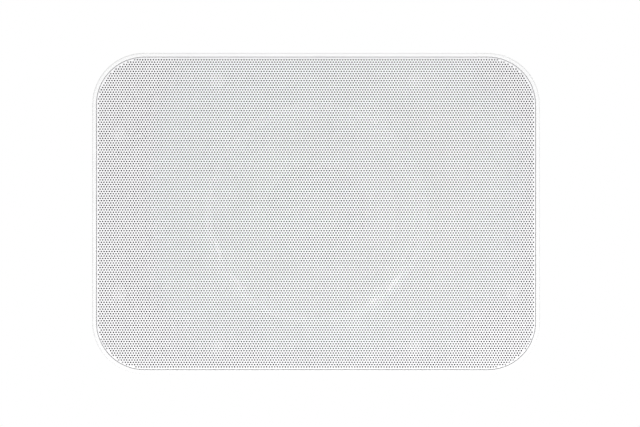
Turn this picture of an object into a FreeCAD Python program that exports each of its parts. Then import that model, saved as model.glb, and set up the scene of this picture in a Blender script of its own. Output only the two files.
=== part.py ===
import FreeCAD
import Part
import math
import os

# Surface-mount loudspeaker: a tapered moulded cabinet behind a full-face perforated steel grille, with one
# coaxial driver (woofer with its tweeter on a post), a crossover, binding posts and a tilting wall bracket.
# Units are millimetres. The origin is the centre of the wall bracket's back face, +Z is up, and the grille
# faces -Y. Depths are measured from the front plane of the cabinet rim towards the wall.

# Face and cabinet
face_width = 336.0
face_height = 241.0
face_corner = 39.0
cabinet_wall = 3.0
cabinet_depth = 160.0
band_depth = 36.0
back_width = 232.0
back_height = 150.0
back_corner = 34.0
back_edge_round = 9.0
shoulder_round = 24.0
rim_round = 1.2

# Grille: a folded pan of perforated sheet. The real sheet has 1.15 mm holes on a 2 mm pitch. The solid keeps
# the stagger and about the same open share on a coarser pitch.
grille_gap = 0.35
grille_sheet = 0.9
grille_bend = 1.3
grille_skirt = 9.0
hole_pitch = 12.0
hole_across_flats = 6.6
hole_margin = 1.5

# Grille magnets in posts on the baffle
magnet_radius = 5.0
magnet_thickness = 3.0
magnet_inset = 17.0
magnet_spacing_x = 148.0
magnet_spacing_z = 120.0
magnet_proud = 0.5
magnet_post_wall = 1.6
magnet_post_draft = 1.0
glue_clearance = 0.1

# Baffle, its gasket and the ledge that carries them
baffle_front = 14.0
baffle_thickness = 4.0
baffle_clearance = 0.4
baffle_gasket_thickness = 2.0
ledge_width = 11.0
ledge_thickness = 3.0
driver_boss_width = 7.0
driver_boss_back = 26.0
baffle_rib_thickness = 2.5
baffle_rib_height = 8.0
baffle_rib_count = 3
baffle_rib_pitch = 44.0

# Screws: clearance is the radial play of a shank in its pilot hole
screw_play = 0.05
hole_play = 0.4
baffle_screw_radius = 1.75
baffle_screw_length = 15.0
baffle_screw_head_radius = 4.0
baffle_screw_head_height = 2.6
baffle_screw_spacing_x = 112.0
boss_wall_overlap = 0.5
boss_floor = 2.5

# Coaxial driver frame: its radius follows from the face height and the room left to the ledge
driver_edge_room = 7.5
flange_thickness = 2.0
driver_gasket_thickness = 1.5
flange_seat_width = 9.5
screw_band_width = 8.0
basket_wall = 2.5
basket_bottom_radius = 46.0
shelf_depth = 50.0
shelf_width = 8.0
basket_base_depth = 60.0
window_count = 6
window_angle = 42.0
window_front = 22.0
window_back = 46.0
driver_screw_count = 6
driver_screw_radius = 1.9
driver_screw_length = 11.0
driver_screw_head_radius = 3.4
driver_screw_head_height = 2.2

# Woofer moving parts
trim_ring_width = 7.0
trim_ring_thickness = 2.0
trim_dish_width = 3.0
trim_dish_depth = 0.75
trim_edge_round = 0.5
surround_thickness = 0.8
surround_edge_gap = 2.0
surround_roll_width = 11.0
surround_roll_height = 6.4
surround_lip_width = 3.5
cone_rim_depth = 17.8
cone_thickness = 0.9
cone_neck_depth = 46.0
cone_flare = 4.0
coil_inner_radius = 19.0
former_thickness = 0.4
former_front = 43.0
former_length = 30.0
winding_thickness = 0.6
winding_length = 14.0
spider_thickness = 0.8
spider_roll_count = 4
spider_roll_height = 1.6

# Woofer magnet system
gap_clearance = 0.6
top_plate_thickness = 6.0
ferrite_outer_radius = 52.0
ferrite_inner_radius = 27.0
ferrite_thickness = 18.0
yoke_thickness = 7.0

# Tweeter on its post
waveguide_radius = 38.0
waveguide_front = 6.5
waveguide_rim = 4.5
waveguide_ring_width = 2.0
waveguide_channel_width = 5.0
waveguide_channel_depth = 3.6
horn_set_back = 1.0
waveguide_throat_radius = 16.6
waveguide_throat_depth = 14.0
tweeter_plane = 16.0
dome_radius = 12.9
dome_height = 5.0
dome_thickness = 0.5
dome_flange_radius = 19.0
tweeter_coil_thickness = 0.6
tweeter_coil_length = 5.0
tweeter_gap = 0.5
tweeter_pot_depth = 11.5
tweeter_pot_floor = 3.0
tweeter_magnet_thickness = 4.0
tweeter_cup_wall = 1.5
tweeter_cup_floor = 5.0
post_radius = 8.0
tweeter_bolt_radius = 3.0
tweeter_bolt_thread = 3.5
tweeter_bolt_head_radius = 5.2
tweeter_bolt_head_height = 4.0

# Crossover on the back wall
board_width = 60.0
board_height = 92.0
board_thickness = 1.6
board_x = -70.0
standoff_height = 8.0
standoff_radius = 3.6
standoff_inset = 5.0
board_screw_radius = 1.45
board_screw_length = 7.0
board_screw_head_radius = 2.8
board_screw_head_height = 1.8
inductor_radius = 17.0
inductor_core_radius = 7.0
inductor_length = 14.0
inductor_cheek = 1.6
inductor_bobbin_wall = 1.2
inductor_z = 22.0
woofer_capacitor_radius = 7.0
woofer_capacitor_length = 20.0
tweeter_capacitor_radius = 5.0
tweeter_capacitor_length = 15.0
capacitor_z = -8.0
capacitor_spacing = 26.0
resistor_length = 38.0
resistor_width = 9.0
resistor_height = 8.0
resistor_z = -30.0

# Terminal cup and binding posts
terminal_x = 74.0
cup_width = 46.0
cup_height = 62.0
cup_corner = 6.0
cup_recess = 20.0
cup_wall = 2.2
cup_flange_width = 8.0
cup_flange_thickness = 2.5
cup_edge_round = 1.0
cup_screw_margin = 2.0
cup_clearance = 0.5
terminal_gasket_thickness = 1.0
terminal_screw_radius = 1.45
terminal_screw_length = 12.0
terminal_screw_head_radius = 2.7
terminal_screw_head_height = 1.8
terminal_boss_radius = 4.0
post_spacing = 28.0
stud_radius = 3.0
stud_inner_length = 9.0
stud_outer_length = 15.0
wire_hole_radius = 1.1
socket_radius = 2.0
socket_depth = 10.0
socket_play = 0.2
collar_radius = 6.8
collar_thickness = 4.0
nut_radius = 6.5
nut_cap = 2.0
nut_flutes = 12
nut_flute_radius = 0.9
nut_play = 0.05
post_nut_across_flats = 9.0
post_nut_height = 3.0
tag_width = 6.0
tag_length = 16.0
tag_thickness = 0.8

# Wall bracket
bracket_standoff = 44.0
bracket_steel = 3.0
bracket_edge_round = 0.7
weld_round = 1.6
pivot_from_wall = 22.0
ear_tip_radius = 11.0
ear_foot = 40.0
ear_inner_gap = 22.0
speaker_plate_width = 60.0
speaker_plate_height = 78.0
speaker_plate_corner = 8.0
insert_spacing_x = 42.0
insert_spacing_z = 56.0
insert_radius = 4.2
insert_length = 10.0
insert_boss_wall = 3.4
bracket_screw_radius = 3.0
bracket_screw_engagement = 9.0
bracket_screw_head_radius = 5.2
bracket_screw_head_height = 3.3
wall_plate_width = 90.0
wall_plate_height = 112.0
wall_plate_corner = 10.0
wall_hole_spacing_x = 66.0
wall_hole_spacing_z = 88.0
wall_hole_radius = 2.75
washer_thickness = 1.0
washer_radius = 10.0
pivot_radius = 4.0
pivot_play = 0.05
pivot_head_across_flats = 13.0
pivot_head_height = 5.3
pivot_nut_height = 7.5
pivot_thread_proud = 1.5

# Derived places
overall_depth = cabinet_depth + bracket_standoff
cavity_width = face_width - 2 * cabinet_wall
cavity_height = face_height - 2 * cabinet_wall
cavity_corner = face_corner - cabinet_wall
back_inside = cabinet_depth - cabinet_wall
grille_width = cavity_width - 2 * grille_gap
grille_height = cavity_height - 2 * grille_gap
grille_corner = cavity_corner - grille_gap
baffle_back = baffle_front + baffle_thickness
ledge_front = baffle_back + baffle_gasket_thickness
baffle_boss_radius = ledge_width / 2 + boss_wall_overlap
recess_floor = baffle_front + flange_thickness + driver_gasket_thickness
frame_radius = cavity_height / 2 - ledge_width - driver_edge_room - driver_boss_width
baffle_cutout_radius = frame_radius - flange_seat_width
driver_boss_radius = frame_radius + driver_boss_width
trim_ring_outer_radius = frame_radius - screw_band_width
trim_ring_inner_radius = trim_ring_outer_radius - trim_ring_width
surround_roll_outer = trim_ring_inner_radius - surround_edge_gap
surround_roll_inner = surround_roll_outer - surround_roll_width
flange_inner_radius = surround_roll_outer + surround_edge_gap / 2
driver_screw_circle = (trim_ring_outer_radius + frame_radius) / 2
surround_front = baffle_front - surround_thickness
former_outer_radius = coil_inner_radius + former_thickness
winding_outer_radius = former_outer_radius + winding_thickness
top_plate_front = basket_base_depth + flange_thickness
top_plate_back = top_plate_front + top_plate_thickness
yoke_front = top_plate_back + ferrite_thickness
yoke_back = yoke_front + yoke_thickness
pole_radius = coil_inner_radius - gap_clearance
gap_radius = winding_outer_radius + gap_clearance
pole_front = top_plate_front - 1.0
tweeter_coil_inner_radius = dome_radius - tweeter_coil_thickness / 2
tweeter_pot_front = tweeter_plane + dome_thickness
tweeter_pot_back = tweeter_pot_front + tweeter_pot_depth
tweeter_pot_inner_radius = tweeter_coil_inner_radius + tweeter_coil_thickness + tweeter_gap
tweeter_cup_inner_radius = dome_flange_radius + 2 * glue_clearance
tweeter_cup_radius = tweeter_cup_inner_radius + tweeter_cup_wall
tweeter_cup_back = tweeter_pot_back + tweeter_cup_floor
waveguide_back = tweeter_plane + 5.0
board_back = back_inside - standoff_height
board_front = board_back - board_thickness
cup_flange_front = cabinet_depth + terminal_gasket_thickness
cup_mouth = cup_flange_front + cup_flange_thickness
cup_floor = cup_mouth - cup_recess
cup_floor_inside = cup_floor - cup_wall
cup_flange_corner = terminal_screw_head_radius + cup_screw_margin
collar_back = cup_floor + collar_thickness
stud_end = collar_back + stud_outer_length
speaker_plate_back = cabinet_depth + bracket_steel
pivot_depth = overall_depth - pivot_from_wall
wall_plate_front = overall_depth - bracket_steel
ear_inner = ear_inner_gap / 2
ear_outer = ear_inner + bracket_steel
wall_ear_inner = ear_outer + washer_thickness
wall_ear_outer = wall_ear_inner + bracket_steel

INTO_WALL = FreeCAD.Vector(0, 1, 0)
ACROSS = FreeCAD.Vector(1, 0, 0)
SIDES = (-1, 1)


def point(x, depth, z):
    """Point at a depth behind the rim's front plane."""
    return FreeCAD.Vector(x, depth - overall_depth, z)


def rounded_outline(width, height, radius, depth, x=0.0, z=0.0):
    """Closed outline of a rectangle with round corners, standing at one depth."""
    half_w, half_h = width / 2, height / 2
    bend = radius * (1 - math.sqrt(0.5))
    edges = []
    for i in range(4):
        turn = math.radians(90 * i)
        along, up = (half_w, half_h) if i % 2 == 0 else (half_h, half_w)
        straight = [(along, -up + radius), (along, up - radius)]
        corners = straight + [(along - bend, up - bend), (along - radius, up)]
        spots = [
            point(
                x + a * math.cos(turn) - b * math.sin(turn),
                depth,
                z + a * math.sin(turn) + b * math.cos(turn),
            )
            for a, b in corners
        ]
        edges.append(Part.LineSegment(spots[0], spots[1]).toShape())
        edges.append(Part.Arc(spots[1], spots[2], spots[3]).toShape())
    return Part.Wire(edges)


def slab(width, height, radius, front, back, x=0.0, z=0.0):
    """Plate with round corners between two depths."""
    outline = rounded_outline(width, height, radius, front, x, z)
    return Part.Face(outline).extrude(INTO_WALL * (back - front))


def block(x, z, width, height, front, back):
    """Square-edged block centred on (x, z) between two depths."""
    return Part.makeBox(width, back - front, height, point(x - width / 2, front, z - height / 2))


def disc(radius, front, back, x=0.0, z=0.0):
    """Round bar along the depth."""
    return Part.makeCylinder(radius, back - front, point(x, front, z), INTO_WALL)


def tube(outer, inner, front, back, x=0.0, z=0.0):
    """Round bar with a round bore."""
    return disc(outer, front, back, x, z).cut(disc(inner, front, back, x, z))


def hexagon(across_flats, front, back, x=0.0, z=0.0):
    """Six-sided bar along the depth."""
    reach = across_flats / math.sqrt(3)
    spots = [
        point(x + reach * math.sin(math.radians(60 * i)), front, z + reach * math.cos(math.radians(60 * i)))
        for i in range(6)
    ]
    outline = Part.makePolygon(spots + spots[:1])
    return Part.Face(outline).extrude(INTO_WALL * (back - front))


def turned(path, x=0.0, z=0.0, angle=360.0):
    """Solid turned about the depth axis through (x, z).

    A path corner is (radius, depth). A four-value step (mid radius, mid depth, radius, depth) is an arc.
    """
    start = point(x + path[0][0], path[0][1], z)
    edges, last = [], start
    for step in path[1:]:
        end = point(x + step[-2], step[-1], z)
        if len(step) == 4:
            edges.append(Part.Arc(last, point(x + step[0], step[1], z), end).toShape())
        else:
            edges.append(Part.LineSegment(last, end).toShape())
        last = end
    edges.append(Part.LineSegment(last, start).toShape())
    face = Part.Face(Part.Wire(edges))
    return face.revolve(point(x, 0, z), INTO_WALL, angle)


def about_axis(shape, angle, x=0.0, z=0.0):
    """Copy turned about the depth axis through (x, z)."""
    copy = shape.copy()
    copy.rotate(point(x, 0, z), INTO_WALL, angle)
    return copy


def round_edges(solid, radius, depth):
    """Rounds every edge that lies in the plane at one depth."""
    level = point(0, depth, 0).y
    edges = [e for e in solid.Edges if all(abs(v.Point.y - level) < 1e-6 for v in e.Vertexes)]
    return solid.makeFillet(radius, edges)


def pan_screw(radius, length, head_radius, head_height, seat, x, z, towards=1):
    """Round-headed screw whose head sits on a face at the seat depth. towards is the way its point goes."""
    shoulder = head_height * 0.35
    crown = head_radius * 0.55
    tip = radius * 0.6
    return turned(
        [
            (0, seat - towards * head_height),
            (crown, seat - towards * head_height),
            (head_radius, seat - towards * shoulder),
            (head_radius, seat),
            (radius, seat),
            (radius, seat + towards * (length - radius)),
            (tip, seat + towards * length),
            (0, seat + towards * length),
        ],
        x,
        z,
    )


def corner_places(spacing_x, spacing_z, x=0.0, z=0.0):
    """Four places at the corners of a rectangle."""
    return [(x + i * spacing_x / 2, z + k * spacing_z / 2) for i in SIDES for k in SIDES]


def magnet_places():
    """Two magnets along each side of the grille, clockwise from the upper left."""
    across = grille_width / 2 - magnet_inset
    up = grille_height / 2 - magnet_inset
    far_x, far_z = magnet_spacing_x / 2, magnet_spacing_z / 2
    return [
        (-far_x, up),
        (far_x, up),
        (across, far_z),
        (across, -far_z),
        (far_x, -up),
        (-far_x, -up),
        (-across, -far_z),
        (-across, far_z),
    ]


def baffle_screw_places():
    """Screws along the middle of the ledge: three above, three below and one each side."""
    across = (cavity_width - ledge_width) / 2
    up = (cavity_height - ledge_width) / 2
    rows = [(x * baffle_screw_spacing_x, k * up) for x in (-1, 0, 1) for k in SIDES]
    return rows + [(i * across, 0.0) for i in SIDES]


def driver_screw_places():
    """Screws round the driver flange."""
    turns = [math.radians(360 / driver_screw_count * (i + 0.5)) for i in range(driver_screw_count)]
    return [(driver_screw_circle * math.sin(t), driver_screw_circle * math.cos(t)) for t in turns]


def standoff_places():
    """Crossover board fixings."""
    return corner_places(board_width - 2 * standoff_inset, board_height - 2 * standoff_inset, board_x)


def terminal_screw_places():
    """Terminal cup fixings, in the corners of its flange."""
    grow = 2 * (cup_flange_width - cup_flange_corner)
    return corner_places(cup_width + grow, cup_height + grow, terminal_x)


def post_places():
    """Binding posts, the positive one above."""
    return {"positive": (terminal_x, post_spacing / 2), "negative": (terminal_x, -post_spacing / 2)}


def hole_centres(width, height, corner):
    """Centres of a 60-degree staggered pattern that stay inside a rounded rectangle."""
    row_pitch = hole_pitch * math.sqrt(3) / 2
    rows = int(height / row_pitch)
    columns = int(width / hole_pitch) + 1
    centres = []
    for row in range(-rows, rows + 1):
        for column in range(-columns, columns + 1):
            x = (column + (row % 2) / 2) * hole_pitch
            z = row * row_pitch
            past_x = max(abs(x) - (width / 2 - corner), 0)
            past_z = max(abs(z) - (height / 2 - corner), 0)
            if math.hypot(past_x, past_z) <= corner:
                centres.append((x, z))
    return centres


def grille():
    """Perforated pan: a flat field with a bent edge and a plain skirt."""
    outside = slab(grille_width, grille_height, grille_corner, 0, grille_skirt)
    outside = round_edges(outside, grille_bend, 0)
    less = 2 * grille_sheet
    inside = slab(
        grille_width - less, grille_height - less, grille_corner - grille_sheet, grille_sheet, grille_skirt
    )
    inside = round_edges(inside, grille_bend - grille_sheet, grille_sheet)
    reach = hole_across_flats / math.sqrt(3) + grille_bend + hole_margin
    centres = hole_centres(grille_width - 2 * reach, grille_height - 2 * reach, grille_corner - reach)
    holes = [hexagon(hole_across_flats, 0, grille_sheet, x, z) for x, z in centres]
    return outside.cut(inside).cut(Part.makeCompound(holes))


def magnets():
    """Nickel-plated discs that hold the grille, each in its own post."""
    back = grille_sheet + magnet_thickness
    return {
        f"grille_magnet_{i}": disc(magnet_radius, grille_sheet, back, x, z)
        for i, (x, z) in enumerate(magnet_places(), 1)
    }


def magnet_post(x, z):
    """Drafted post on the baffle with a pocket for one magnet."""
    top = grille_sheet + magnet_proud
    floor = grille_sheet + magnet_thickness
    pocket = magnet_radius + glue_clearance
    outer = pocket + magnet_post_wall
    return turned(
        [
            (0, floor),
            (pocket, floor),
            (pocket, top),
            (outer, top),
            (outer + magnet_post_draft, baffle_front),
            (0, baffle_front),
        ],
        x,
        z,
    )


def baffle_ribs():
    """Stiffening ribs behind the baffle, either side of the driver."""
    start = driver_boss_radius - 2
    end = cavity_width / 2 - ledge_width - 2
    middle = (start + end) / 2
    rib_back = baffle_back + baffle_rib_height
    levels = [(i - (baffle_rib_count - 1) / 2) * baffle_rib_pitch for i in range(baffle_rib_count)]
    return [
        block(side * middle, z, end - start, baffle_rib_thickness, baffle_back, rib_back)
        for side in SIDES
        for z in levels
    ]


def front_baffle():
    """Moulded panel with the driver seat, the magnet posts and ribs."""
    less = 2 * baffle_clearance
    plate = slab(
        cavity_width - less, cavity_height - less, cavity_corner - baffle_clearance, baffle_front, baffle_back
    )
    seat = disc(driver_boss_radius, baffle_front, driver_boss_back)
    added = [seat] + baffle_ribs() + [magnet_post(x, z) for x, z in magnet_places()]
    body = plate.multiFuse(added).removeSplitter()
    cuts = [
        disc(frame_radius + glue_clearance * 4, baffle_front, recess_floor),
        disc(baffle_cutout_radius, baffle_front, driver_boss_back),
    ]
    cuts += [
        disc(baffle_screw_radius + hole_play, baffle_front, baffle_back, x, z)
        for x, z in baffle_screw_places()
    ]
    cuts += [
        disc(driver_screw_radius + screw_play, recess_floor, driver_boss_back, x, z)
        for x, z in driver_screw_places()
    ]
    return body.cut(Part.makeCompound(cuts))


def baffle_gasket():
    """Foam frame between the baffle and the cabinet ledge."""
    less = 2 * baffle_clearance
    outer = slab(
        cavity_width - less, cavity_height - less, cavity_corner - baffle_clearance, baffle_back, ledge_front
    )
    less = 2 * ledge_width
    inner = slab(
        cavity_width - less, cavity_height - less, cavity_corner - ledge_width, baffle_back, ledge_front
    )
    holes = [
        disc(baffle_screw_radius + hole_play, baffle_back, ledge_front, x, z)
        for x, z in baffle_screw_places()
    ]
    return outer.cut(Part.makeCompound([inner] + holes))


def baffle_screws():
    """Screws that hold the baffle to the cabinet."""
    return Part.makeCompound(
        [
            pan_screw(
                baffle_screw_radius,
                baffle_screw_length,
                baffle_screw_head_radius,
                baffle_screw_head_height,
                baffle_front,
                x,
                z,
            )
            for x, z in baffle_screw_places()
        ]
    )


def cabinet_form(inset, front):
    """Straight front band that tapers to a smaller rounded back, drawn in by an inset."""
    less = 2 * inset
    sizes = (face_width - less, face_height - less, face_corner - inset)
    back_sizes = (back_width - less, back_height - less, back_corner - inset)
    back = cabinet_depth - inset
    band = slab(*sizes, front, band_depth)
    taper = Part.makeLoft(
        [rounded_outline(*sizes, band_depth), rounded_outline(*back_sizes, back)], True, True
    )
    form = band.fuse(taper).removeSplitter()
    form = round_edges(form, back_edge_round - inset, back)
    return round_edges(form, shoulder_round - inset, band_depth)


def cabinet():
    """One-piece moulded enclosure, open at the front, with its ledge, bosses and cut-outs."""
    outside = cabinet_form(0, 0)
    shell = round_edges(outside, rim_round, 0).cut(cabinet_form(cabinet_wall, -1.0))
    ledge_back = ledge_front + ledge_thickness
    less = 2 * ledge_width
    ledge = slab(
        cavity_width + cabinet_wall, cavity_height + cabinet_wall, cavity_corner, ledge_front, ledge_back
    )
    ledge = ledge.cut(
        slab(cavity_width - less, cavity_height - less, cavity_corner - ledge_width, ledge_front, ledge_back)
    )
    screw_end = baffle_front + baffle_screw_length
    bosses = [
        disc(baffle_boss_radius, ledge_front, screw_end + boss_floor, x, z) for x, z in baffle_screw_places()
    ]
    bosses += [disc(standoff_radius, board_back, back_inside + 1, x, z) for x, z in standoff_places()]
    insert_front = cabinet_depth - insert_length
    insert_boss_radius = insert_radius + insert_boss_wall
    inserts = corner_places(insert_spacing_x, insert_spacing_z)
    bosses += [disc(insert_boss_radius, insert_front - boss_floor, back_inside + 1, x, z) for x, z in inserts]
    terminal_screw_end = cup_mouth - terminal_screw_length
    bosses += [
        disc(terminal_boss_radius, terminal_screw_end - boss_floor, back_inside + 1, x, z)
        for x, z in terminal_screw_places()
    ]
    bosses = [boss.common(outside) for boss in bosses]
    body = shell.multiFuse([ledge] + bosses).removeSplitter()
    cuts = [
        disc(baffle_screw_radius + screw_play, ledge_front, screw_end + screw_play, x, z)
        for x, z in baffle_screw_places()
    ]
    board_screw_end = board_front + board_screw_length
    cuts += [
        disc(board_screw_radius + screw_play, board_back, board_screw_end + screw_play, x, z)
        for x, z in standoff_places()
    ]
    cuts += [disc(insert_radius + screw_play, insert_front, cabinet_depth, x, z) for x, z in inserts]
    cuts += [
        disc(terminal_screw_radius + screw_play, terminal_screw_end - screw_play, cabinet_depth, x, z)
        for x, z in terminal_screw_places()
    ]
    grow = 2 * (cup_wall + cup_clearance)
    cut_corner = cup_corner + cup_wall + cup_clearance
    cuts.append(
        slab(cup_width + grow, cup_height + grow, cut_corner, cup_floor_inside, cabinet_depth, terminal_x)
    )
    return body.cut(Part.makeCompound(cuts))


def driver_basket():
    """Pressed frame: flange, windowed bowl, spider shelf and base."""
    flange_back = baffle_front + flange_thickness
    shelf_back = shelf_depth + flange_thickness
    bowl_top = baffle_cutout_radius - 1.5
    shelf_radius = basket_bottom_radius + shelf_width
    body = turned(
        [
            (frame_radius, baffle_front),
            (frame_radius, flange_back),
            (bowl_top, flange_back),
            (shelf_radius, shelf_back),
            (basket_bottom_radius, shelf_back),
            (basket_bottom_radius, top_plate_front),
            (gap_radius + 1.5, top_plate_front),
            (gap_radius + 1.5, basket_base_depth),
            (basket_bottom_radius - flange_thickness, basket_base_depth),
            (basket_bottom_radius - flange_thickness, shelf_depth),
            (shelf_radius - basket_wall / 2, shelf_depth),
            (bowl_top - basket_wall, flange_back),
            (flange_inner_radius, flange_back),
            (flange_inner_radius, baffle_front),
        ]
    )
    window = turned(
        [
            (basket_bottom_radius, window_front),
            (frame_radius, window_front),
            (frame_radius, window_back),
            (basket_bottom_radius, window_back),
        ],
        angle=window_angle,
    )
    step = 360 / window_count
    cuts = [about_axis(window, step * i) for i in range(window_count)]
    cuts += [
        disc(driver_screw_radius + hole_play, baffle_front, flange_back, x, z)
        for x, z in driver_screw_places()
    ]
    return body.cut(Part.makeCompound(cuts))


def driver_gasket():
    """Foam ring between the driver flange and the baffle recess."""
    front = baffle_front + flange_thickness
    ring = tube(frame_radius, baffle_cutout_radius, front, recess_floor)
    holes = [
        disc(driver_screw_radius + hole_play, front, recess_floor, x, z) for x, z in driver_screw_places()
    ]
    return ring.cut(Part.makeCompound(holes))


def driver_screws():
    """Screws that hold the driver to the baffle."""
    return Part.makeCompound(
        [
            pan_screw(
                driver_screw_radius,
                driver_screw_length,
                driver_screw_head_radius,
                driver_screw_head_height,
                baffle_front,
                x,
                z,
            )
            for x, z in driver_screw_places()
        ]
    )


def woofer_trim_ring():
    """Moulded ring over the surround's outer lip, dished towards the cone, with a round inner edge."""
    top = surround_front - trim_ring_thickness
    lip = top + trim_dish_depth
    edge = trim_edge_round
    bend = edge * (1 - math.sqrt(0.5))
    return turned(
        [
            (trim_ring_inner_radius, surround_front),
            (trim_ring_inner_radius, lip + edge),
            (trim_ring_inner_radius + bend, lip + bend, trim_ring_inner_radius + edge, lip),
            (trim_ring_inner_radius + trim_dish_width, top),
            (trim_ring_outer_radius, top),
            (trim_ring_outer_radius, surround_front),
        ]
    )


def woofer_surround():
    """Rubber half roll between the frame flange and the cone rim."""
    half = surround_thickness / 2
    middle = (surround_roll_outer + surround_roll_inner) / 2
    crest = surround_front - surround_roll_height
    inner_front = cone_rim_depth - surround_thickness
    lip_end = surround_roll_inner - surround_lip_width
    return turned(
        [
            (trim_ring_outer_radius, surround_front),
            (surround_roll_outer + half, surround_front),
            (middle, crest, surround_roll_inner - half, inner_front),
            (lip_end, inner_front),
            (lip_end, cone_rim_depth),
            (surround_roll_inner + half, cone_rim_depth),
            (middle, crest + surround_thickness, surround_roll_outer - half, baffle_front),
            (trim_ring_outer_radius, baffle_front),
        ]
    )


def woofer_cone():
    """Flared cone with a flat rim under the surround and a neck on the voice-coil former."""
    rim_outer = surround_roll_inner - surround_thickness
    rim_inner = surround_roll_inner - surround_lip_width - 1
    neck = former_outer_radius
    middle = (rim_inner + neck) / 2
    half_way = (cone_rim_depth + cone_neck_depth) / 2 - cone_flare
    slant = cone_thickness * 0.7
    return turned(
        [
            (rim_outer, cone_rim_depth),
            (rim_inner, cone_rim_depth),
            (middle, half_way, neck, cone_neck_depth - cone_thickness),
            (neck, cone_neck_depth + cone_thickness),
            (middle + slant, half_way + slant, rim_inner, cone_rim_depth + cone_thickness),
            (rim_outer, cone_rim_depth + cone_thickness),
        ]
    )


def spider():
    """Corrugated cloth disc that centres the voice coil."""
    inner = former_outer_radius
    outer = basket_bottom_radius + shelf_width / 2
    collar = inner + 2.5
    flat = basket_bottom_radius - 2.5
    front = shelf_depth - spider_thickness
    pitch = (flat - collar) / spider_roll_count
    there, back = [], []
    for i in range(spider_roll_count):
        lift = spider_roll_height * (1 if i % 2 == 0 else -1)
        start = collar + i * pitch
        there.append((start + pitch / 2, front - lift, start + pitch, front))
        back.insert(0, (start + pitch / 2, shelf_depth - lift, start, shelf_depth))
    path = [(inner, front), (collar, front)] + there
    path += [(outer, front), (outer, shelf_depth), (flat, shelf_depth)] + back
    return turned(path + [(inner, shelf_depth)])


def voice_coil_former():
    """Thin tube that joins the cone to the winding."""
    return tube(former_outer_radius, coil_inner_radius, former_front, former_front + former_length)


def voice_coil_winding():
    """Copper winding in the magnet gap."""
    middle = (top_plate_front + top_plate_back) / 2
    return tube(
        winding_outer_radius, former_outer_radius, middle - winding_length / 2, middle + winding_length / 2
    )


def top_plate():
    """Steel ring in front of the magnet."""
    return tube(basket_bottom_radius, gap_radius, top_plate_front, top_plate_back)


def ferrite_magnet():
    """Ring magnet."""
    return tube(ferrite_outer_radius, ferrite_inner_radius, top_plate_back, yoke_front)


def pole_yoke():
    """Back plate and pole in one turned piece, bored for the tweeter bolt."""
    bore = tweeter_bolt_radius + screw_play
    chamfer = yoke_thickness * 0.25
    return turned(
        [
            (bore, pole_front),
            (pole_radius, pole_front),
            (pole_radius, yoke_front),
            (basket_bottom_radius, yoke_front),
            (basket_bottom_radius, yoke_back - chamfer),
            (basket_bottom_radius - chamfer, yoke_back),
            (bore, yoke_back),
        ]
    )


def tweeter_waveguide():
    """Shallow horn round the dome, set in a ring with a channel between them."""
    crown = waveguide_ring_width / 2
    ring_inner = waveguide_radius - waveguide_ring_width
    horn_radius = ring_inner - waveguide_channel_width
    horn_front = waveguide_front + horn_set_back
    channel_floor = waveguide_front + waveguide_channel_depth
    rim_back = waveguide_front + waveguide_rim
    neck = tweeter_cup_radius + 3
    middle = (horn_radius + waveguide_throat_radius) / 2
    half_way = (horn_front + waveguide_throat_depth) / 2 + horn_set_back
    return turned(
        [
            (waveguide_throat_radius, tweeter_plane),
            (waveguide_throat_radius, waveguide_throat_depth),
            (middle, half_way, horn_radius, horn_front),
            (horn_radius, channel_floor),
            (ring_inner, channel_floor),
            (ring_inner, waveguide_front + crown),
            (waveguide_radius - crown, waveguide_front, waveguide_radius, waveguide_front + crown),
            (waveguide_radius, rim_back),
            (neck, waveguide_back),
            (tweeter_cup_radius + glue_clearance, waveguide_back),
            (tweeter_cup_radius + glue_clearance, tweeter_plane),
        ]
    )


def tweeter_dome():
    """Soft dome with its own roll and flange, pressed as one piece."""
    rim = tweeter_plane - 1.0
    roll_outer = waveguide_throat_radius - 0.3
    roll_middle = (dome_radius + roll_outer) / 2
    half_radius = dome_radius * math.sqrt(0.5)
    sphere = (dome_radius**2 + dome_height**2) / (2 * dome_height)
    half_drop = sphere - math.sqrt(sphere**2 - half_radius**2)
    apex = rim - dome_height
    return turned(
        [
            (0, apex),
            (half_radius, apex + half_drop, dome_radius, rim),
            (roll_middle, rim - 0.8, roll_outer, tweeter_plane),
            (dome_flange_radius, tweeter_plane),
            (dome_flange_radius, tweeter_pot_front),
            (roll_outer - dome_thickness, tweeter_pot_front),
            (roll_middle, rim - 0.8 + dome_thickness, dome_radius, rim + dome_thickness),
            (half_radius, apex + half_drop + dome_thickness, 0, apex + dome_thickness),
        ]
    )


def tweeter_motor():
    """Voice coil, pole tip, magnet and pot of the tweeter."""
    coil_front = tweeter_plane - 0.4
    coil_outer = tweeter_coil_inner_radius + tweeter_coil_thickness
    magnet_back = tweeter_pot_back - tweeter_pot_floor
    magnet_front = magnet_back - tweeter_magnet_thickness
    pole = tweeter_coil_inner_radius - tweeter_gap
    pot = disc(dome_flange_radius, tweeter_pot_front, tweeter_pot_back)
    pot = pot.cut(disc(tweeter_pot_inner_radius, tweeter_pot_front, magnet_back))
    return {
        "tweeter_voice_coil": tube(
            coil_outer, tweeter_coil_inner_radius, coil_front, coil_front + tweeter_coil_length
        ),
        "tweeter_pole_tip": disc(pole, tweeter_pot_front + tweeter_gap, magnet_front),
        "tweeter_magnet": disc(pole - tweeter_gap, magnet_front, magnet_back),
        "tweeter_pot": pot,
    }


def tweeter_cup():
    """Turned cup that holds the tweeter motor and takes the bolt."""
    thread_front = tweeter_cup_back - tweeter_bolt_thread
    body = disc(tweeter_cup_radius, tweeter_plane + glue_clearance, tweeter_cup_back)
    body = body.cut(disc(tweeter_cup_inner_radius, tweeter_plane + glue_clearance, tweeter_pot_back))
    return body.cut(disc(tweeter_bolt_radius + screw_play, thread_front, tweeter_cup_back))


def tweeter_post():
    """Spacer between the tweeter cup and the pole."""
    return tube(post_radius, tweeter_bolt_radius + screw_play, tweeter_cup_back, pole_front)


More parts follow.
